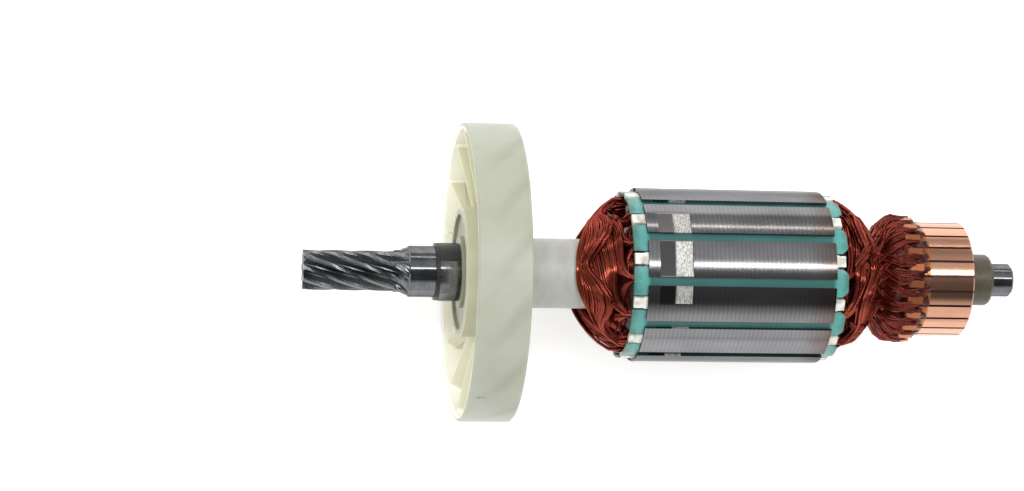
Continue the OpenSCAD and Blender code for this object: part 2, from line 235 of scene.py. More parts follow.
def object_place(tree, *sizes):
    """Object coordinates, counted in features of a size in mm: one size, or one each for X, Y and Z."""
    scale = [1 / (size * MM) for size in (sizes if len(sizes) == 3 else sizes * 3)]
    place = add_node(tree, "ShaderNodeTexCoord")
    mapping = add_node(tree, "ShaderNodeMapping", {"Vector": place.outputs["Object"], "Scale": scale})
    return mapping.outputs["Vector"]


def shaft_place(tree):
    """Sockets for a point's place along the shaft and its radius, in mm, and its angle in degrees."""
    place = add_node(tree, "ShaderNodeTexCoord")
    parts = add_node(tree, "ShaderNodeSeparateXYZ", {"Vector": place.outputs["Object"]})
    along = add_node(tree, "ShaderNodeMath", {0: parts.outputs["X"], 1: 1 / MM}, operation="MULTIPLY")
    level = add_node(tree, "ShaderNodeCombineXYZ", {"Y": parts.outputs["Y"], "Z": parts.outputs["Z"]})
    length = add_node(tree, "ShaderNodeVectorMath", {0: level.outputs[0]}, operation="LENGTH")
    radius = add_node(tree, "ShaderNodeMath", {0: length.outputs["Value"], 1: 1 / MM}, operation="MULTIPLY")
    turn = add_node(
        tree, "ShaderNodeMath", {0: parts.outputs["Z"], 1: parts.outputs["Y"]}, operation="ARCTAN2")
    angle = add_node(tree, "ShaderNodeMath", {0: turn.outputs[0]}, operation="DEGREES")
    return ShaftPlace(along.outputs[0], radius.outputs[0], angle.outputs[0])


def ground_steel(colours):
    """Hardened carbon steel, ground between centres and dulled by oil: a dark mirror with fine rings.

    Grinding leaves rings about 0.03 mm apart, too fine to show, so they are drawn 0.11 mm apart.
    """
    material, tree, shader = start_material("ground_steel")
    rings = add_node(
        tree, "ShaderNodeTexNoise",
        {"Vector": object_place(tree, 0.111, 16.7, 16.7), "Scale": 1.0, "Detail": 3.0})
    smear = add_node(
        tree, "ShaderNodeTexNoise", {"Vector": object_place(tree, 2.38), "Scale": 1.0, "Detail": 5.0})
    tone = add_node(tree, "ShaderNodeValToRGB", {"Fac": smear.outputs["Fac"]})
    steel = linear(colours.steel)
    set_ramp(tone, [(0.3, tint(steel, 0.7)), (0.6, steel)])
    ground = add_node(
        tree, "ShaderNodeMapRange", {"Value": rings.outputs["Fac"], "To Min": 0.55, "To Max": 1.3})
    marked = add_node(
        tree, "ShaderNodeMix", {"Factor": 1.0, "A": tone.outputs["Color"], "B": ground.outputs["Result"]},
        data_type="RGBA", blend_type="MULTIPLY")
    rough = add_node(
        tree, "ShaderNodeMapRange",
        {"Value": smear.outputs["Fac"], "From Min": 0.35, "From Max": 0.7, "To Min": 0.1, "To Max": 0.2})
    # The teeth of the pinion are left as hobbed: duller and lighter
    teeth = add_node(tree, "ShaderNodeMapRange", {
        "Value": shaft_place(tree).along, "From Min": PINION_END, "From Max": PINION_END + 1.0,
        "To Min": 1.0, "To Max": 0.0})
    finish = add_node(
        tree, "ShaderNodeMix",
        {"Factor": teeth.outputs[0], "A": marked.outputs["Result"], "B": tint(steel, 1.1)},
        data_type="RGBA")
    dull = add_node(
        tree, "ShaderNodeMath", {0: teeth.outputs[0], 1: 0.13, 2: rough.outputs["Result"]},
        operation="MULTIPLY_ADD")
    bump = add_node(
        tree, "ShaderNodeBump",
        {"Height": rings.outputs["Fac"], "Strength": 0.1, "Distance": 0.00001})
    set_inputs(tree, shader, {
        "Base Color": finish.outputs["Result"], "Roughness": dull.outputs[0],
        "Normal": bump.outputs["Normal"], "Metallic": 1.0, "Specular Tint": (0.5, 0.5, 0.5, 1),
    })
    return material


def black_plastic():
    """Glass-filled nylon, injection moulded: nearly black, with a soft gleam over a 0.4 mm grain."""
    material, tree, shader = start_material("black_plastic")
    grain = add_node(
        tree, "ShaderNodeTexNoise", {"Vector": object_place(tree, 0.4), "Scale": 1.0, "Detail": 3.0})
    bump = add_node(
        tree, "ShaderNodeBump", {"Height": grain.outputs["Fac"], "Strength": 0.3, "Distance": 0.00005})
    tone = add_node(tree, "ShaderNodeValToRGB", {"Fac": grain.outputs["Fac"]})
    set_ramp(tone, [(0.3, linear("#161617")), (0.7, linear("#242425"))])
    set_inputs(tree, shader, {
        "Base Color": tone.outputs["Color"], "Normal": bump.outputs["Normal"], "Roughness": 0.45,
    })
    return material


def fan_nylon(colours):
    """Unpigmented nylon, injection moulded: creamy and milky. The blades' shadows on its thin wall are
    painted on as soft dark bands, and inside it has painted shade at the hub and painted light on the wall."""
    material, tree, shader = start_material("fan_nylon")
    place = shaft_place(tree)
    turn_from = FAN_X + BLADE_TURN_X
    past = add_node(tree, "ShaderNodeMapRange", {
        "Value": place.along, "From Min": turn_from, "From Max": FAN_END - 0.5, "To Max": BLADE_SWEEP})
    straight = add_node(
        tree, "ShaderNodeMath", {0: place.angle, 1: past.outputs["Result"]}, operation="ADD")
    cloud = add_node(
        tree, "ShaderNodeTexNoise", {"Vector": object_place(tree, 14.3), "Scale": 1.0, "Detail": 4.0})
    loose = add_node(
        tree, "ShaderNodeMath", {0: cloud.outputs["Fac"], 1: 9.0, 2: straight.outputs[0]},
        operation="MULTIPLY_ADD")
    start = add_node(
        tree, "ShaderNodeMath", {0: loose.outputs[0], 1: BLADE_MIDDLE + 4.5}, operation="SUBTRACT")
    apart = add_node(
        tree, "ShaderNodeMath", {0: start.outputs[0], 1: BLADE_PITCH / 2}, operation="PINGPONG")
    # Painted shade: a soft dark band where each blade's shadow shows through the wall
    blade_shadow_band = add_node(tree, "ShaderNodeMapRange", {
        "Value": apart.outputs[0], "From Min": 0.0, "From Max": 7.0, "To Min": 1.0, "To Max": 0.0,
    }, interpolation_type="SMOOTHSTEP")
    # The painted blade shadows start a third of the fan's width in, where a blade stands close behind the
    # wall
    depth = add_node(tree, "ShaderNodeMapRange", {
        "Value": place.along, "From Min": turn_from - 3, "From Max": turn_from + 4, "To Max": 0.18})
    # Strength of the painted blade shadows, none near the fan's front
    shade = add_node(tree, "ShaderNodeMath", {0: blade_shadow_band.outputs[0], 1: depth.outputs[0]}, operation="MULTIPLY")
    tone = add_node(tree, "ShaderNodeValToRGB", {"Fac": cloud.outputs["Fac"]})
    nylon = linear(colours.nylon)
    set_ramp(tone, [(0.3, [nylon[0] * 0.86, nylon[1] * 0.88, nylon[2] * 0.8, 1]), (0.7, nylon)])
    # The nylon darkened by the painted blade shadows
    painted_blade_shadows = add_node(
        tree, "ShaderNodeMix",
        {"Factor": shade.outputs[0], "A": tone.outputs["Color"], "B": tint(nylon, 0.3)},
        data_type="RGBA")
    # From the hub outwards, inside the fan: the hub painted dark as in shade, then the blades in the lighter
    # inside colour, which is painted light, and the inner wall painted nearly white as lit
    inner = linear(colours.nylon_inside_lit)
    share = add_node(tree, "ShaderNodeMath", {0: place.radius, 1: FAN_R}, operation="DIVIDE")
    reach = add_node(tree, "ShaderNodeValToRGB", {"Fac": share.outputs[0]})
    set_ramp(reach, [
        (0.4, tint(inner, 0.4)), (0.46, tint(inner, 0.86)), (0.93, tint(inner, 0.9)),
        (0.95, linear("#F4F3E8")),
    ])
    # Outside the wall the nylon keeps its own colour with the painted blade shadows; within, the painted
    # light and shade by radius
    outside = add_node(
        tree, "ShaderNodeMapRange",
        {"Value": place.radius, "From Min": FAN_R - 1.0, "From Max": FAN_R - 0.6})
    skin = add_node(
        tree, "ShaderNodeMix",
        {"Factor": outside.outputs[0], "A": reach.outputs["Color"], "B": painted_blade_shadows.outputs["Result"]},
        data_type="RGBA")
    specks = add_node(
        tree, "ShaderNodeTexNoise", {"Vector": object_place(tree, 4.35), "Scale": 1.0, "Detail": 2.0})
    dirt = add_node(tree, "ShaderNodeMapRange", {
        "Value": specks.outputs["Fac"], "From Min": 0.72, "From Max": 0.76, "To Max": 0.55})
    marked = add_node(
        tree, "ShaderNodeMix",
        {"Factor": dirt.outputs[0], "A": skin.outputs["Result"], "B": linear("#5A5B50")}, data_type="RGBA")
    set_inputs(tree, shader, {
        "Base Color": marked.outputs["Result"], "Roughness": 0.4, "Specular IOR Level": 0.35,
        "Subsurface Weight": 0.35, "Subsurface Radius": (1.0, 1.0, 0.7), "Subsurface Scale": 0.0015,
    })
    return material


def white_sleeve(colours):
    """Glass-fibre tube wound in white resin: matt, with faint streaks where the fibres lie."""
    material, tree, shader = start_material("white_sleeve")
    streaks = add_node(
        tree, "ShaderNodeTexNoise",
        {"Vector": object_place(tree, 2.38, 5.88, 5.88), "Scale": 1.0, "Detail": 5.0})
    tone = add_node(tree, "ShaderNodeValToRGB", {"Fac": streaks.outputs["Fac"]})
    white = linear(colours.sleeve)
    set_ramp(tone, [(0.3, tint(white, 0.86)), (0.65, white)])
    set_inputs(tree, shader, {"Base Color": tone.outputs["Color"], "Roughness": 0.42})
    return material


def lamination_steel(colours):
    """Silicon steel sheets, punched, stacked and ground round: a grey sheen with a line at each sheet's edge.

    The flats cut for balance are bare: smooth and dark where the cutter went in, then torn bright. Heat has
    browned the end next to the commutator.
    """
    material, tree, shader = start_material("lamination_steel")
    place = shaft_place(tree)
    # A wave repeats at every tau / 20. Two sheets are drawn as one, for a single sheet is too fine to show.
    sheets = add_node(
        tree, "ShaderNodeTexWave",
        {"Vector": object_place(tree, 2 * SHEET * 20 / math.tau), "Scale": 1.0, "Distortion": 0.0},
        bands_direction="X")
    smear = add_node(
        tree, "ShaderNodeTexNoise",
        {"Vector": object_place(tree, 18.2, 7.69, 7.69), "Scale": 1.0, "Detail": 5.0})
    tone = add_node(tree, "ShaderNodeValToRGB", {"Fac": smear.outputs["Fac"]})
    steel = linear(colours.sheet_steel)
    set_ramp(tone, [(0.3, tint(steel, 0.72)), (0.7, steel)])
    lines = add_node(
        tree, "ShaderNodeMix",
        {"Factor": 0.15, "A": tone.outputs["Color"], "B": sheets.outputs["Color"]},
        data_type="RGBA", blend_type="MULTIPLY")
    # Heat tint, stronger towards the commutator
    stain = add_node(
        tree, "ShaderNodeTexNoise", {"Vector": object_place(tree, 6.25), "Scale": 1.0, "Detail": 4.0})
    far = add_node(
        tree, "ShaderNodeMath", {0: stain.outputs["Fac"], 1: 9.0, 2: place.along}, operation="MULTIPLY_ADD")
    heat = add_node(tree, "ShaderNodeMapRange", {
        "Value": far.outputs[0], "From Min": CORE_END - 1.5, "From Max": CORE_END + 4.5, "To Max": 0.6})
    browned = add_node(
        tree, "ShaderNodeMix",
        {"Factor": heat.outputs[0], "A": lines.outputs["Result"], "B": linear("#5A3A24")}, data_type="RGBA")
    # The flats lie below the ground surface, between FLAT_X and FLAT_END
    below = add_node(tree, "ShaderNodeMath", {0: place.radius, 1: CORE_R - 0.04}, operation="LESS_THAN")
    after = add_node(tree, "ShaderNodeMath", {0: place.along, 1: FLAT_X}, operation="GREATER_THAN")
    before = add_node(tree, "ShaderNodeMath", {0: place.along, 1: FLAT_END}, operation="LESS_THAN")
    span = add_node(tree, "ShaderNodeMath", {0: after.outputs[0], 1: before.outputs[0]}, operation="MULTIPLY")
    flat = add_node(tree, "ShaderNodeMath", {0: below.outputs[0], 1: span.outputs[0]}, operation="MULTIPLY")
    tears = add_node(
        tree, "ShaderNodeTexNoise",
        {"Vector": object_place(tree, 0.217, 0.714, 0.714), "Scale": 1.0, "Detail": 3.0})
    torn = add_node(tree, "ShaderNodeMapRange", {
        "Value": place.along, "From Min": FLAT_BRIGHT - 0.25, "From Max": FLAT_BRIGHT + 0.25})
    torn_tone = add_node(tree, "ShaderNodeValToRGB", {"Fac": tears.outputs["Fac"]})
    set_ramp(torn_tone, [(0.36, linear("#8A8985")), (0.6, linear("#D6D5D0"))])
    flat_tone = add_node(
        tree, "ShaderNodeMix",
        {"Factor": torn.outputs[0], "A": linear("#4F4F50"), "B": torn_tone.outputs["Color"]},
        data_type="RGBA")
    surface = add_node(
        tree, "ShaderNodeMix",
        {"Factor": flat.outputs[0], "A": browned.outputs["Result"], "B": flat_tone.outputs["Result"]},
        data_type="RGBA")
    rough_here = add_node(
        tree, "ShaderNodeMath", {0: flat.outputs[0], 1: torn.outputs[0]}, operation="MULTIPLY")
    rough = add_node(
        tree, "ShaderNodeMapRange", {"Value": rough_here.outputs[0], "To Min": 0.15, "To Max": 0.5})
    metal = add_node(
        tree, "ShaderNodeMapRange", {"Value": rough_here.outputs[0], "To Min": 1.0, "To Max": 0.8})
    rise = add_node(
        tree, "ShaderNodeMath", {0: tears.outputs["Fac"], 1: rough_here.outputs[0]}, operation="MULTIPLY")
    crumple = add_node(
        tree, "ShaderNodeBump", {"Height": rise.outputs[0], "Strength": 0.7, "Distance": 0.0001})
    set_inputs(tree, shader, {
        "Base Color": surface.outputs["Result"], "Roughness": rough.outputs["Result"],
        "Metallic": metal.outputs["Result"], "Normal": crumple.outputs["Normal"],
        "Specular Tint": (0.5, 0.5, 0.5, 1),
    })
    return material


def insulator_plastic():
    """White polyester, compression moulded: dull and uneven, browned a little by the dipping varnish."""
    material, tree, shader = start_material("insulator_plastic")
    stain = add_node(
        tree, "ShaderNodeTexNoise", {"Vector": object_place(tree, 2.0), "Scale": 1.0, "Detail": 4.0})
    tone = add_node(tree, "ShaderNodeValToRGB", {"Fac": stain.outputs["Fac"]})
    set_ramp(tone, [(0.35, linear("#9A968A")), (0.55, linear("#CCCBC3"))])
    bump = add_node(
        tree, "ShaderNodeBump", {"Height": stain.outputs["Fac"], "Strength": 0.5, "Distance": 0.0003})
    set_inputs(tree, shader, {
        "Base Color": tone.outputs["Color"], "Normal": bump.outputs["Normal"], "Roughness": 0.35,
    })
    return material


def slot_sheet(colours):
    """Teal polyester film, laminated and folded: painted dark down in the slots as shade, and glossy, in its
    own paler teal, on the tongues that stand out of the core."""
    material, tree, shader = start_material("slot_sheet")
    bruise = add_node(
        tree, "ShaderNodeTexNoise",
        {"Vector": object_place(tree, 6.67, 3.33, 3.33), "Scale": 1.0, "Detail": 4.0})
    tone = add_node(tree, "ShaderNodeValToRGB", {"Fac": bruise.outputs["Fac"]})
    teal = linear(colours.insulation)
    set_ramp(tone, [(0.3, tint(teal, 0.78)), (0.7, teal)])
    middle = (CORE_X + CORE_END) / 2
    aside = add_node(
        tree, "ShaderNodeMath", {0: shaft_place(tree).along, 1: middle}, operation="SUBTRACT")
    away = add_node(tree, "ShaderNodeMath", {0: aside.outputs[0]}, operation="ABSOLUTE")
    half = (CORE_END - CORE_X) / 2
    # Painted shade: the sheet is darkened down in the slots, between the core's ends
    slot_shade = add_node(tree, "ShaderNodeMapRange", {
        "Value": away.outputs[0], "From Min": half - 0.6, "From Max": half + 0.2,
        "To Min": 0.72, "To Max": 0.0})
    deep = add_node(
        tree, "ShaderNodeMix",
        {"Factor": slot_shade.outputs[0], "A": tone.outputs["Color"], "B": tint(teal, 0.14)},
        data_type="RGBA")
    # Varnish that has soaked in from the coils, on the tongues only
    soak = add_node(
        tree, "ShaderNodeTexNoise", {"Vector": object_place(tree, 2.38), "Scale": 1.0, "Detail": 4.0})
    out = add_node(
        tree, "ShaderNodeMath", {0: soak.outputs["Fac"], 1: 4.0, 2: away.outputs[0]},
        operation="MULTIPLY_ADD")
    soaked = add_node(tree, "ShaderNodeMapRange", {
        "Value": out.outputs[0], "From Min": half + 3.4, "From Max": half + 5.2, "To Max": 0.6})
    stained = add_node(
        tree, "ShaderNodeMix",
        {"Factor": soaked.outputs[0], "A": deep.outputs["Result"], "B": linear("#2E4238")}, data_type="RGBA")
    set_inputs(tree, shader, {"Base Color": stained.outputs["Result"], "Roughness": 0.3})
    return material


def enamelled_copper(colours):
    """Drawn copper wire, baked with red-brown enamel: a coloured mirror, deeper where the enamel is thick."""
    material, tree, shader = start_material("enamelled_copper")
    depth = add_node(
        tree, "ShaderNodeTexNoise", {"Vector": object_place(tree, 5.56), "Scale": 1.0, "Detail": 3.0})
    own = add_node(tree, "ShaderNodeAttribute", attribute_name="wire_tone")
    # Varnish has pooled by the hooks and darkens the leads there
    pool = add_node(
        tree, "ShaderNodeMath", {0: depth.outputs["Fac"], 1: 6.0, 2: shaft_place(tree).along},
        operation="MULTIPLY_ADD")
    clear = add_node(tree, "ShaderNodeMapRange", {
        "Value": pool.outputs[0], "From Min": HUB_X + 1.5, "From Max": HUB_X + 6.5,
        "To Min": 1.0, "To Max": 0.3})
    dimmed = add_node(
        tree, "ShaderNodeMath", {0: own.outputs["Fac"], 1: clear.outputs["Result"]}, operation="MULTIPLY")
    mixed = add_node(
        tree, "ShaderNodeMath", {0: dimmed.outputs[0], 1: depth.outputs["Fac"]}, operation="MULTIPLY")
    tone = add_node(tree, "ShaderNodeValToRGB", {"Fac": mixed.outputs[0]})
    enamel = linear(colours.enamel)
    set_ramp(tone, [(0.05, tint(enamel, 0.3)), (0.5, enamel)])
    set_inputs(tree, shader, {
        "Base Color": tone.outputs["Color"], "Metallic": 0.9, "Roughness": 0.15,
        "Specular Tint": (0.5, 0.2, 0.15, 1), "Coat Weight": 0.2, "Coat Roughness": 0.06,
    })
    return material


def dipping_varnish():
    """Polyester varnish, dipped and baked over the leads: dark red-brown, glassy and full of drops."""
    material, tree, shader = start_material("dipping_varnish")
    cloud = add_node(
        tree, "ShaderNodeTexNoise", {"Vector": object_place(tree, 1.67), "Scale": 1.0, "Detail": 4.0})
    tone = add_node(tree, "ShaderNodeValToRGB", {"Fac": cloud.outputs["Fac"]})
    set_ramp(tone, [(0.35, linear("#1C0A08")), (0.65, linear("#4A1C14"))])
    bump = add_node(
        tree, "ShaderNodeBump", {"Height": cloud.outputs["Fac"], "Strength": 0.5, "Distance": 0.0004})
    set_inputs(tree, shader, {
        "Base Color": tone.outputs["Color"], "Normal": bump.outputs["Normal"], "Roughness": 0.17,
        "Specular IOR Level": 0.22,
    })
    return material


def moulding_resin(colours):
    """Glass-filled phenolic, compression moulded: matt, speckled olive-grey on the nose, and soaked dark with
    varnish among the bars and hooks."""
    material, tree, shader = start_material("moulding_resin")
    speck = add_node(
        tree, "ShaderNodeTexNoise", {"Vector": object_place(tree, 1.43), "Scale": 1.0, "Detail": 5.0})
    tone = add_node(tree, "ShaderNodeValToRGB", {"Fac": speck.outputs["Fac"]})
    resin = linear(colours.resin)
    set_ramp(tone, [(0.3, tint(resin, 0.7)), (0.7, resin)])
    nose = add_node(
        tree, "ShaderNodeMath", {0: shaft_place(tree).along, 1: BAR_END - 0.1}, operation="GREATER_THAN")
    skin = add_node(
        tree, "ShaderNodeMix",
        {"Factor": nose.outputs[0], "A": linear("#2A140D"), "B": tone.outputs["Color"]}, data_type="RGBA")
    set_inputs(tree, shader, {"Base Color": skin.outputs["Result"], "Roughness": 0.4})
    return material


def bar_copper(colours):
    """Hard-drawn copper, turned true after assembly: pink and bright, with fine rings.

    Turning leaves rings about 0.05 mm apart, too fine to show, so they are drawn 0.14 mm apart. Amber varnish
    covers the hooks and runs out in a ragged edge on the track.
    """
    material, tree, shader = start_material("bar_copper")
    place = shaft_place(tree)
    rings = add_node(
        tree, "ShaderNodeTexNoise",
        {"Vector": object_place(tree, 0.143, 25, 25), "Scale": 1.0, "Detail": 3.0})
    patina = add_node(
        tree, "ShaderNodeTexNoise",
        {"Vector": object_place(tree, 16.7, 3.85, 3.85), "Scale": 1.0, "Detail": 3.0})
    tone = add_node(tree, "ShaderNodeValToRGB", {"Fac": patina.outputs["Fac"]})
    copper = linear(colours.copper)
    set_ramp(tone, [(0.3, tint(copper, 0.84)), (0.7, copper)])
    edge = add_node(
        tree, "ShaderNodeTexNoise", {"Vector": object_place(tree, 3.03), "Scale": 1.0, "Detail": 3.0})
    ragged = add_node(
        tree, "ShaderNodeMath", {0: edge.outputs["Fac"], 1: 1.4, 2: place.along}, operation="MULTIPLY_ADD")
    covered = add_node(tree, "ShaderNodeMapRange", {
        "Value": ragged.outputs[0], "From Min": STAIN_END + 0.5, "From Max": STAIN_END + 0.9,
        "To Min": 0.92, "To Max": 0.0})
    hook = add_node(tree, "ShaderNodeMapRange", {
        "Value": place.radius, "From Min": BAR_R + 0.5, "From Max": BAR_R + 1.1,
        "To Min": 1.0, "To Max": 0.5})
    stain = add_node(
        tree, "ShaderNodeMath", {0: covered.outputs[0], 1: hook.outputs[0]}, operation="MULTIPLY")
    # The varnish is nearly black between the hooks and thins to amber at its edge
    thin = add_node(tree, "ShaderNodeMapRange", {
        "Value": ragged.outputs[0], "From Min": STAIN_END - 2.2, "From Max": STAIN_END + 0.5})
    drops = add_node(tree, "ShaderNodeValToRGB", {"Fac": thin.outputs[0]})
    set_ramp(drops, [(0.0, linear("#26110B")), (0.55, linear("#6E3A1A")), (1.0, linear("#A5622E"))])
    # Every bar has its own shade
    count = add_node(tree, "ShaderNodeMath", {0: place.angle, 1: BAR_PITCH}, operation="DIVIDE")
    shifted = add_node(
        tree, "ShaderNodeMath", {0: count.outputs[0], 1: 0.5 - FIRST_BAR / BAR_PITCH}, operation="ADD")
    whole = add_node(tree, "ShaderNodeMath", {0: shifted.outputs[0]}, operation="FLOOR")
    chance = add_node(tree, "ShaderNodeTexWhiteNoise", {"W": whole.outputs[0]}, noise_dimensions="1D")
    shade = add_node(
        tree, "ShaderNodeMapRange", {"Value": chance.outputs["Value"], "To Min": 0.82, "To Max": 1.0})
    shaded = add_node(
        tree, "ShaderNodeMix", {"Factor": 1.0, "A": tone.outputs["Color"], "B": shade.outputs["Result"]},
        data_type="RGBA", blend_type="MULTIPLY")
    stained = add_node(
        tree, "ShaderNodeMix",
        {"Factor": stain.outputs[0], "A": shaded.outputs["Result"], "B": drops.outputs["Color"]},
        data_type="RGBA")
    metal = add_node(tree, "ShaderNodeMapRange", {"Value": covered.outputs[0], "To Min": 1.0, "To Max": 0.6})
    # The bars are painted dark in a thin band at their ends, and the hooks get a darker copper of their own
    raised = add_node(
        tree, "ShaderNodeMapRange",
        {"Value": place.radius, "From Min": BAR_R + 0.4, "From Max": BAR_R + 1.0, "To Max": 0.8})
    # A thin dark band painted on the bars at their ends
    dark_end_band = add_node(
        tree, "ShaderNodeMapRange",
        {"Value": place.along, "From Min": BAR_END - 0.3, "From Max": BAR_END - 0.15, "To Max": 0.8})
    edged = add_node(
        tree, "ShaderNodeMix",
        {"Factor": dark_end_band.outputs[0], "A": stained.outputs["Result"], "B": linear("#4A3024")}, data_type="RGBA")
    hooked = add_node(
        tree, "ShaderNodeMix",
        {"Factor": raised.outputs[0], "A": edged.outputs["Result"], "B": linear("#98532F")}, data_type="RGBA")
    bump = add_node(
        tree, "ShaderNodeBump", {"Height": rings.outputs["Fac"], "Strength": 0.1, "Distance": 0.00001})
    set_inputs(tree, shader, {
        "Base Color": hooked.outputs["Result"], "Metallic": metal.outputs["Result"],
        "Normal": bump.outputs["Normal"], "Roughness": 0.16,
    })
    return material


def dress(names, material):
    """Gives CAD nodes their finish."""
    for name in names:
        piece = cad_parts[name]
        piece.data.materials.clear()
        piece.data.materials.append(material)


def numbered(stem, count):
    """Names of alike nodes, counted from 01."""
    return [f"{stem}_{i:02d}" for i in range(1, count + 1)]


# ---- Wires ----


def around(x, radius, angle):
    """A point from its place along the shaft, its radius and its angle from +Y towards +Z, in millimetres."""
    a = math.radians(angle)
    return Vector((x, radius * math.cos(a), radius * math.sin(a)))


class Dome:
    """The bowl in which one pair of coils turns at an end of the core."""

    def __init__(self, layer, side):
        throw, step = THROWS[side]
        self.side = side
        self.rim = INNER_RIM + layer
        self.depth = throw - step * (LAYERS - 1 - layer) - PLATE
        self.face = (CORE_END + PLATE) if side > 0 else (CORE_X - PLATE)

    def radius(self, depth):
        """The bowl's radius at a depth: a parabola from the rim to the pole."""
        swell = (self.rim - DOME_POLE) * (1 - (depth / self.depth) ** 2)
        return DOME_POLE + max(SLEEVE_GAP, swell)

    def depth_at(self, radius):
        """The depth at which the bowl has a radius."""
        share = 1 - (radius - DOME_POLE) / (self.rim - DOME_POLE)
        return self.depth * math.sqrt(max(0.0, share))

    def point(self, depth, angle, lift):
        """A point at a depth and angle, lifted off the bowl along its normal."""
        slope = -2 * (self.rim - DOME_POLE) * depth / self.depth ** 2
        length = math.hypot(1, slope)
        x = self.face + self.side * (depth - lift * slope / length)
        return around(x, self.radius(depth) + lift / length, angle)

    def turn(self, share, start, lifts, stray, phase, fan):
        """One wire's way over the bowl: in from a slot, round a circle at share of the depth, and out again.

        On the way in and out it keeps closer to the core by its fan, and it strays like a wave.
        """
        circle = self.radius(self.depth * share)
        past = max(0.0, share - 1) * self.depth
        lead_in = math.degrees(math.acos(circle / self.rim))
        span = COIL_SPAN * SLOT_PITCH
        angles = [lead_in * (i / LEAD_IN_KNOTS) ** CROWDING for i in range(1, LEAD_IN_KNOTS + 1)]
        arc = [lead_in + (span - 2 * lead_in) * i / (ARC_KNOTS + 1) for i in range(1, ARC_KNOTS + 1)]
        way = angles + arc + [span - a for a in reversed(angles)]
        points = []
        for angle in way:
            near = min(angle, span - angle)
            radius = circle if near >= lead_in else circle / math.cos(math.radians(lead_in - near))
            t = angle / span
            bulge = math.sin(math.pi * t)
            depth = self.depth_at(radius) * (1 - fan * math.sin(math.tau * t) ** 2)
            depth += (past + stray * math.sin(math.tau * t + phase)) * bulge
            depth = min(self.depth + PAST_POLE, max(0.05, depth))
            lift = lifts[0] + (lifts[1] - lifts[0]) * t
            points.append(self.point(depth, start + self.side * angle, lift))
        return points


def wire_curve(name, ways, diameter, cyclic, tones=(0.35, 1.0)):
    """Round wires along lists of points in millimetres, as one mesh object."""
    curve = bpy.data.curves.new(name, "CURVE")
    curve.dimensions = "3D"
    curve.bevel_depth = diameter / 2
    curve.bevel_resolution = 1
    curve.use_fill_caps = True
    for way in ways:
        spline = curve.splines.new("POLY")
        spline.points.add(len(way) - 1)
        for knot, place in zip(spline.points, way):
            knot.co = (*(place * MM), 1.0)
        spline.use_cyclic_u = cyclic
        spline.use_smooth = True
    piece = bpy.data.objects.new(name, curve)
    bpy.context.collection.objects.link(piece)
    bpy.ops.object.select_all(action="DESELECT")
    piece.select_set(True)
    bpy.context.view_layer.objects.active = piece
    bpy.ops.object.convert(target="MESH")
    piece = bpy.context.view_layer.objects.active
    # Every wire keeps a shade of its own; all wires of a piece have the same number of faces
    rng = random.Random(len(ways))
    per_wire = len(piece.data.polygons) // len(ways)
    tone = piece.data.attributes.new("wire_tone", "FLOAT", "FACE")
    tone.data.foreach_set("value", [v for _ in ways for v in [rng.uniform(*tones)] * per_wire])
    return piece


# Legs at the bottom and at the top of a slot: middle radius, half width and half height, in millimetres
LEG_LOW = (14.3, 1.15, 1.0)
LEG_HIGH = (17.3, 1.85, 1.15)
# By side and layer: the share of the bowl's depth at which the wires pass the shaft, how far they spread,
# how far they fan out towards the core on the way, and how deep they are heaped in millimetres.
# The last coil of each pair is drawn tight against the sleeve, so the one below it shows beside it.
WAYS = {
    1: [(0.8, 0.22, 0.2, 0.6)] * 4 + [(0.84, 0.2, 0.2, 0.6), (0.9, 0.14, 0.35, 0.7)],
    -1: [(0.8, 0.24, 0.2, 0.6)] * 4 + [(0.84, 0.22, 0.15, 0.5), (0.97, 0.08, 0.42, 1.0)],
}


def coil_ways(index, winding):
    """The ways of all the wires of one coil, each a closed loop. They lie side by side, two deep."""
    rng = random.Random(winding.seed * 100 + index)
    layer = index % LAYERS
    first = LEG_HIGH if layer == LAYERS - 1 else LEG_LOW
    last = LEG_LOW if layer == 0 else LEG_HIGH
    slot_a = FIRST_SLOT + index * SLOT_PITCH
    slot_b = slot_a + COIL_SPAN * SLOT_PITCH
    domes = {1: Dome(layer, 1), -1: Dome(layer, -1)}
    wander = winding.wander / MM
    # Neighbours stray together, bundle by bundle: how far, the phase of the wave, and the lift at both ends
    bundles = [
        (rng.uniform(-1, 1) * wander, rng.uniform(0, math.tau),
         rng.uniform(-BUNDLE_LIFT, BUNDLE_LIFT), rng.uniform(-BUNDLE_LIFT, BUNDLE_LIFT))
        for _ in range(2 * winding.bundles)]
    ways = []
    for n in range(winding.turns):
        row = n % 2
        place = (n + 0.5) / winding.turns * 2 - 1
        bundle = n * winding.bundles // winding.turns + row * winding.bundles
        swing, phase, *ends = bundles[bundle]
        way = []
        for side in (1, -1):
            dome = domes[side]
            a, leg = (slot_a, first) if side > 0 else (slot_b, last)
            b, other = (slot_b, last) if side > 0 else (slot_a, first)
            middle, reach, fan, depth = WAYS[side][layer]
            share = middle + place * reach + rng.uniform(-WIRE_SHARE, WIRE_SHARE)
            stray = swing + rng.uniform(-WIRE_STRAY, WIRE_STRAY)
            lifts = [(row - 0.6) * depth + lift + rng.uniform(-WIRE_LIFT, WIRE_LIFT) for lift in ends]
            rise = max(-1, min(1, row * 1.2 - 0.6 + ends[0]))
            slide = place * side
            leg_a = [around(x, leg[0] + leg[2] * rise, a) + offset(a, leg[1] * slide)
                     for x in (dome.face - side * IN_SLOT, dome.face)]
            leg_b = [around(x, other[0] + other[2] * rise, b) + offset(b, -other[1] * slide)
                     for x in (dome.face, dome.face - side * IN_SLOT)]
            way += leg_a + dome.turn(share, a, lifts, stray, phase, fan * (0.5 - place / 2)) + leg_b
        ways.append(way)
    return ways


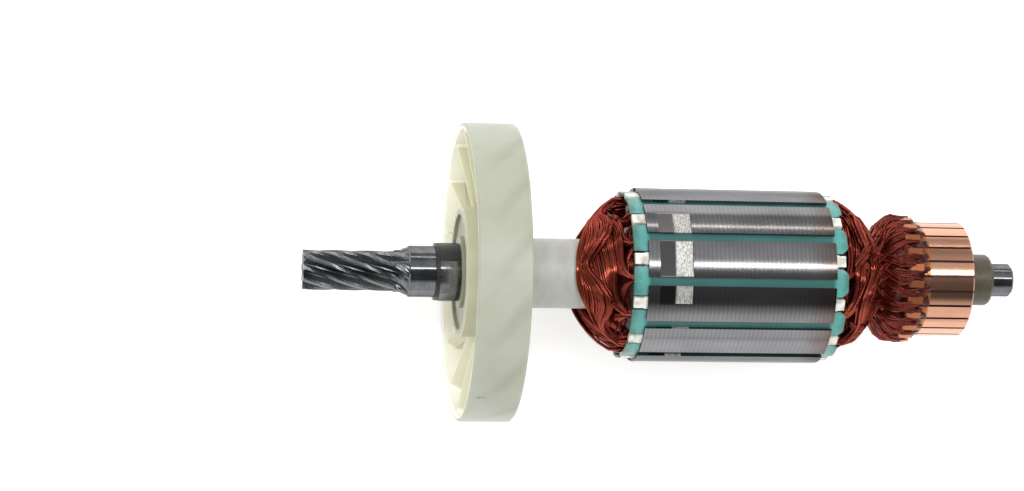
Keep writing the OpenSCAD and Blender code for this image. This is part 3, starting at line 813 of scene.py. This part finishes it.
def offset(angle, distance):
    """A step sideways in a slot that lies at an angle."""
    a = math.radians(angle)
    return Vector((0, -math.sin(a), math.cos(a))) * distance


def finish_piece(piece, material, slot, *nodes):
    """Gives a new piece its material and the nodes that it stands for; its slot in the table is not used."""
    if not piece.data.polygons:
        raise RuntimeError(f"{piece.name} has no faces")
    piece.data.materials.clear()
    piece.data.materials.append(material)
    for face in piece.data.polygons:
        face.use_smooth = True
    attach(piece, "root")
    if nodes:
        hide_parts(*nodes)


def shared_material(name, maker, *settings):
    """A finish that several operators use, made once."""
    return bpy.data.materials.get(name + FINISH) or maker(*settings)


# ---- Operators ----


class ARMATURE_OT_shaft(bpy.types.Operator):
    """Finish the shaft with its pinion, and the spacer behind the drive-end bearing"""

    bl_idname = "armature.shaft"
    bl_label = "Shaft and spacer"

    def execute(self, context):
        steel = shared_material("ground_steel", ground_steel, context.scene.armature_colours)
        dress(["shaft", "spacer_ring"], steel)
        dress(["spacer_bush"], black_plastic())
        return {"FINISHED"}


class ARMATURE_OT_fan(bpy.types.Operator):
    """Finish the moulded fan"""

    bl_idname = "armature.fan"
    bl_label = "Fan"

    def execute(self, context):
        dress(["fan"], fan_nylon(context.scene.armature_colours))
        return {"FINISHED"}


class ARMATURE_OT_core(bpy.types.Operator):
    """Finish the laminated core, its sleeve and its insulation"""

    bl_idname = "armature.core"
    bl_label = "Core and insulation"

    def execute(self, context):
        colours = context.scene.armature_colours
        dress(["core"], lamination_steel(colours))
        dress(["shaft_sleeve"], white_sleeve(colours))
        dress(["end_insulator_drive", "end_insulator_comm"], insulator_plastic())
        dress(["slot_liners"] + numbered("slot_wedge", SLOTS), slot_sheet(colours))
        return {"FINISHED"}


class ARMATURE_OT_coils(bpy.types.Operator):
    """Wind the twelve coils, wire by wire"""

    bl_idname = "armature.coils"
    bl_label = "Coils"

    def execute(self, context):
        winding = context.scene.armature_winding
        enamel = shared_material("enamelled_copper", enamelled_copper, context.scene.armature_colours)
        for index, node in enumerate(numbered("coil", SLOTS)):
            piece = wire_curve(f"wires_{index + 1:02d}", coil_ways(index, winding), winding.wire, True)
            finish_piece(piece, enamel, "enamelled_copper", node)
        return {"FINISHED"}


class ARMATURE_OT_leads(bpy.types.Operator):
    """Lead the wires from the coils up to the hooks, over a collar of varnish"""

    bl_idname = "armature.leads"
    bl_label = "Lead wires"

    def execute(self, context):
        winding = context.scene.armature_winding
        colours = context.scene.armature_colours
        enamel = shared_material("enamelled_copper", enamelled_copper, colours)
        rng = random.Random(winding.seed)
        ways = []
        for i in range(BARS):
            hook = FIRST_BAR + i * BAR_PITCH
            for way_round, count in ((-1, 4), (1, 3), (rng.choice((-1, 1)), 4)):
                # How far it swings round, its lift, its ripple's phase and how deep it starts: two strands in
                # three come up from below the coils
                strand = (rng.uniform(0.5, 1.25) * way_round, rng.uniform(-0.25, 0.55),
                          rng.uniform(0, math.tau), rng.choice((0, 5, 5)))
                for n in range(count):
                    ways.append(lead_way(hook, strand, n - (count - 1) / 2, rng))
        piece = wire_curve("leads", ways, winding.wire * 1.1, False, (0.12, 0.7))
        finish_piece(piece, enamel, "enamelled_copper", "lead_wires")
        collar = spun_ring("lead_varnish", COLLAR, 240)
        lump_collar(collar.data)
        finish_piece(collar, dipping_varnish(), "enamelled_copper")
        return {"FINISHED"}


# The collar's section, which is turned about the shaft, as (place along it, radius) in millimetres
COLLAR = [
    (102.4, 8.6), (102.4, 9.0), (103.6, 9.0), (104.6, 9.0), (105.2, 9.4), (105.8, 10.1), (106.4, 11.0),
    (107.0, 12.1), (107.6, 13.1), (108.2, 13.8), (108.9, 14.1), (109.6, 14.2), (110.4, 14.2), (111.2, 14.1),
    (112.0, 14.0), (112.6, 13.95), (113.2, 13.95), (113.8, 13.95), (114.4, 13.95), (115.0, 13.85),
    (115.6, 13.75), (116.2, 13.65), (116.6, 13.3), (113.3, 13.0), (113.3, 10.4), (111.9, 8.6),
]
COLLAR_END = max(x for x, r in COLLAR)
# The lumps leave out the collar's bore, and from HOOK_X on what lies under the hooks
COLLAR_BORE = 8.8
HOOK_X = 113
UNDER_HOOK = 13.4
# A lead's way: place along the shaft, radius, and degrees from its hook, times its strand's swing
LEAD_KNOTS = [
    (97.6, 14.9, 62), (99.0, 15.7, 56), (100.5, 14.9, 50), (102.0, 13.3, 43), (103.3, 11.4, 35),
    (104.3, 10.0, 27), (105.2, 9.5, 19), (106.1, 10.3, 13), (106.9, 12.0, 9), (107.8, 13.6, 7),
    (109.0, 14.5, 6), (110.4, 14.8, 5.2), (111.8, 14.7, 4.6), (113.0, 14.3, 4.2), (114.0, 13.7, 4),
]


def spun_ring(name, section, steps):
    """A closed ring: a loop of points laid on the section and spun about the shaft."""
    bpy.ops.object.select_all(action="DESELECT")
    bpy.ops.mesh.primitive_circle_add(
        vertices=len(section), radius=MM, fill_type="NOTHING", location=(0, 0, 0))
    piece = bpy.context.view_layer.objects.active
    piece.name = piece.data.name = name
    for vertex, (x, r) in zip(piece.data.vertices, section):
        vertex.co = (x * MM, r * MM, 0)
    bpy.ops.object.mode_set(mode="EDIT")
    bpy.ops.mesh.select_all(action="SELECT")
    bpy.ops.mesh.spin(steps=steps, angle=math.tau, center=(0, 0, 0), axis=(1, 0, 0))
    bpy.ops.mesh.select_all(action="SELECT")
    bpy.ops.mesh.remove_doubles(threshold=1e-6)
    bpy.ops.mesh.normals_make_consistent(inside=False)
    bpy.ops.object.mode_set(mode="OBJECT")
    return piece


def lump_collar(mesh):
    """Swells the varnish over each hook's strand, and leaves drops and hollows between.

    Two noises lay the drops, about 1.1 mm and 0.5 mm wide. The swelling dies away towards the bars.
    """
    for vertex in mesh.vertices:
        x, y, z = vertex.co / MM
        radius = math.hypot(y, z)
        if radius < COLLAR_BORE or radius < UNDER_HOOK and x > HOOK_X:
            continue
        angle = math.degrees(math.atan2(z, y))
        strand = math.cos(math.radians((angle - FIRST_BAR + 1.5 * (HOOK_X - x)) * BARS))
        drops = noise.noise(Vector((x, y, z)) * 0.9) + 0.5 * noise.noise(Vector((x, y, z)) * 2.1)
        swell = (0.22 * strand + 0.55 * drops) * min(1, 0.35 + (COLLAR_END - x) / 3)
        vertex.co.yz = Vector((y, z)) * (1 + swell / radius) * MM


def lead_way(hook, strand, beside, rng):
    """One wire out of the coils, over the waist and up to a hook, beside the other wires of its strand."""
    swing, lift, ripple, sink = strand
    lift += rng.uniform(-0.12, 0.12)
    slip = rng.uniform(-0.35, 0.35)
    way = []
    for k, (x, r, a) in enumerate(LEAD_KNOTS):
        fade = min(1, (len(LEAD_KNOTS) - 1 - k) / 4)
        stray = (2.6 * math.sin(0.8 * k + ripple) + 2.3 * beside) * fade
        radius = r + lift * min(1, k / 3) + 0.14 * math.sin(1.9 * k + ripple + beside)
        way.append(around(x + slip * fade, radius - sink * max(0, 1 - k / 4), hook + swing * a + stray))
    return way


class ARMATURE_OT_commutator(bpy.types.Operator):
    """Finish the commutator's bars and its moulding"""

    bl_idname = "armature.commutator"
    bl_label = "Commutator"

    def execute(self, context):
        colours = context.scene.armature_colours
        dress(numbered("commutator_bar", BARS), bar_copper(colours))
        dress(["commutator_hub"], moulding_resin(colours))
        return {"FINISHED"}


class ARMATURE_OT_stage(bpy.types.Operator):
    """Set up the floor, the light and the camera"""

    bl_idname = "armature.stage"
    bl_label = "Stage"

    def execute(self, context):
        stage = context.scene.armature_stage
        make_floor(stage)
        make_light(context.scene)
        make_camera(context.scene, stage)
        context.scene.view_settings.view_transform = "Standard"
        return {"FINISHED"}


def make_floor(stage):
    """Pale card, lit a little from within as under a bright sky. Its mottling is too broad to see an edge."""
    bpy.ops.object.select_all(action="DESELECT")
    bpy.ops.mesh.primitive_plane_add(size=6, location=(0, 0, FLOOR_Z))
    floor = bpy.context.view_layer.objects.active
    floor.name = "floor"
    bpy.ops.object.transform_apply()
    material, tree, shader = start_material("floor_card")
    grain = add_node(
        tree, "ShaderNodeTexNoise", {"Vector": object_place(tree, 125), "Scale": 1.0, "Detail": 2.0})
    tone = add_node(tree, "ShaderNodeValToRGB", {"Fac": grain.outputs["Fac"]})
    pale = linear(stage.floor)
    set_ramp(tone, [(0.2, tint(pale, 0.97)), (0.8, pale)])
    set_inputs(tree, shader, {
        "Base Color": tone.outputs["Color"], "Roughness": 0.7, "Emission Color": pale,
        "Emission Strength": 0.35,
    })
    floor.data.materials.append(material)


def make_light(scene):
    """A room with one dark patch of ceiling over the armature, two narrow lamps and a wide one overhead."""
    world = bpy.data.worlds.new("studio")
    scene.world = world
    world.use_nodes = True
    tree = world.node_tree
    way = add_node(tree, "ShaderNodeTexCoord")
    parts = add_node(tree, "ShaderNodeSeparateXYZ", {0: way.outputs["Generated"]})
    round_angle = add_node(
        tree, "ShaderNodeMath", {0: parts.outputs["Z"], 1: parts.outputs["Y"]}, operation="ARCTAN2")
    share = add_node(tree, "ShaderNodeMath", {0: round_angle.outputs[0], 1: math.pi}, operation="DIVIDE")
    ceiling = add_node(tree, "ShaderNodeValToRGB", {"Fac": share.outputs[0]})
    set_ramp(ceiling, CEILING)
    background = tree.nodes["Background"]
    tree.links.new(ceiling.outputs["Color"], background.inputs["Color"])
    background.inputs["Strength"].default_value = 1.45
    add_lamp(scene, "strip", size=(3.0, 0.085), energy=9.6, angle=75, distance=1.1)
    low = add_lamp(scene, "low_strip", size=(2.4, 0.04), energy=2.2, angle=21, distance=1.1)
    low.data.color = (1.0, 0.93, 0.84)
    # The cloth lights the piece without showing in its polished steel
    cloth = add_lamp(scene, "overhead_cloth", size=(2.2, 2.2), energy=30.0, angle=82, distance=1.6)
    cloth.visible_glossy = False


def add_lamp(scene, name, size, energy, angle, distance):
    """A flat lamp at an angle round the shaft from +Y, turned towards the armature."""
    lamp = bpy.data.lights.new(name, "AREA")
    lamp.shape = "RECTANGLE"
    lamp.size, lamp.size_y = size
    lamp.energy = energy
    seat = bpy.data.objects.new(name, lamp)
    tilt = math.radians(angle)
    seat.location = (0.05, math.cos(tilt) * distance, math.sin(tilt) * distance)
    seat.rotation_euler = (tilt - math.pi / 2, 0, 0)
    scene.collection.objects.link(seat)
    return seat


def make_camera(scene, stage):
    """A camera that looks straight down, turned a little to the side and rolled."""
    camera = bpy.data.cameras.new("camera")
    camera.sensor_width = SENSOR
    camera.lens = stage.lens
    camera.clip_start = 0.01
    seat = bpy.data.objects.new("camera", camera)
    side = math.radians(CAMERA_SIDE)
    roll = math.radians(CAMERA_ROLL)
    right = Vector((math.cos(side), 0, math.sin(side)))
    up = Vector((0, 1, 0))
    turned_right = right * math.cos(roll) + up * math.sin(roll)
    turned_up = up * math.cos(roll) - right * math.sin(roll)
    axes = Matrix((turned_right, turned_up, turned_right.cross(turned_up))).transposed().to_4x4()
    seat.matrix_world = Matrix.Translation((CAMERA_X, CAMERA_Y, stage.distance)) @ axes
    scene.collection.objects.link(seat)
    scene.camera = seat


class ARMATURE_PT_panel(bpy.types.Panel):
    """Lists the steps and the settings"""

    bl_idname = "ARMATURE_PT_panel"
    bl_label = "Motor armature"
    bl_space_type = "VIEW_3D"
    bl_region_type = "UI"
    bl_category = "Armature"

    def draw(self, context):
        layout = self.layout
        for step in STEPS:
            layout.operator(step.bl_idname)
        for group in ("armature_winding", "armature_colours", "armature_stage"):
            settings = getattr(context.scene, group)
            box = layout.box()
            for name in settings.__annotations__:
                box.prop(settings, name)


STEPS = (
    ARMATURE_OT_shaft, ARMATURE_OT_fan, ARMATURE_OT_core, ARMATURE_OT_coils, ARMATURE_OT_leads,
    ARMATURE_OT_commutator, ARMATURE_OT_stage,
)
GROUPS = {
    "armature_winding": ArmatureWinding,
    "armature_colours": ArmatureColours,
    "armature_stage": ArmatureStage,
}


def register():
    for name, group in GROUPS.items():
        bpy.utils.register_class(group)
        setattr(bpy.types.Scene, name, bpy.props.PointerProperty(type=group))
    for cls in (*STEPS, ARMATURE_PT_panel):
        bpy.utils.register_class(cls)


def unregister():
    for cls in (ARMATURE_PT_panel, *reversed(STEPS)):
        bpy.utils.unregister_class(cls)
    for name, group in reversed(GROUPS.items()):
        delattr(bpy.types.Scene, name)
        bpy.utils.unregister_class(group)


def main():
    register()
    bpy.ops.armature.shaft()
    bpy.ops.armature.fan()
    bpy.ops.armature.core()
    bpy.ops.armature.coils()
    bpy.ops.armature.leads()
    bpy.ops.armature.commutator()
    bpy.ops.armature.stage()


if __name__ == "__main__":
    main()
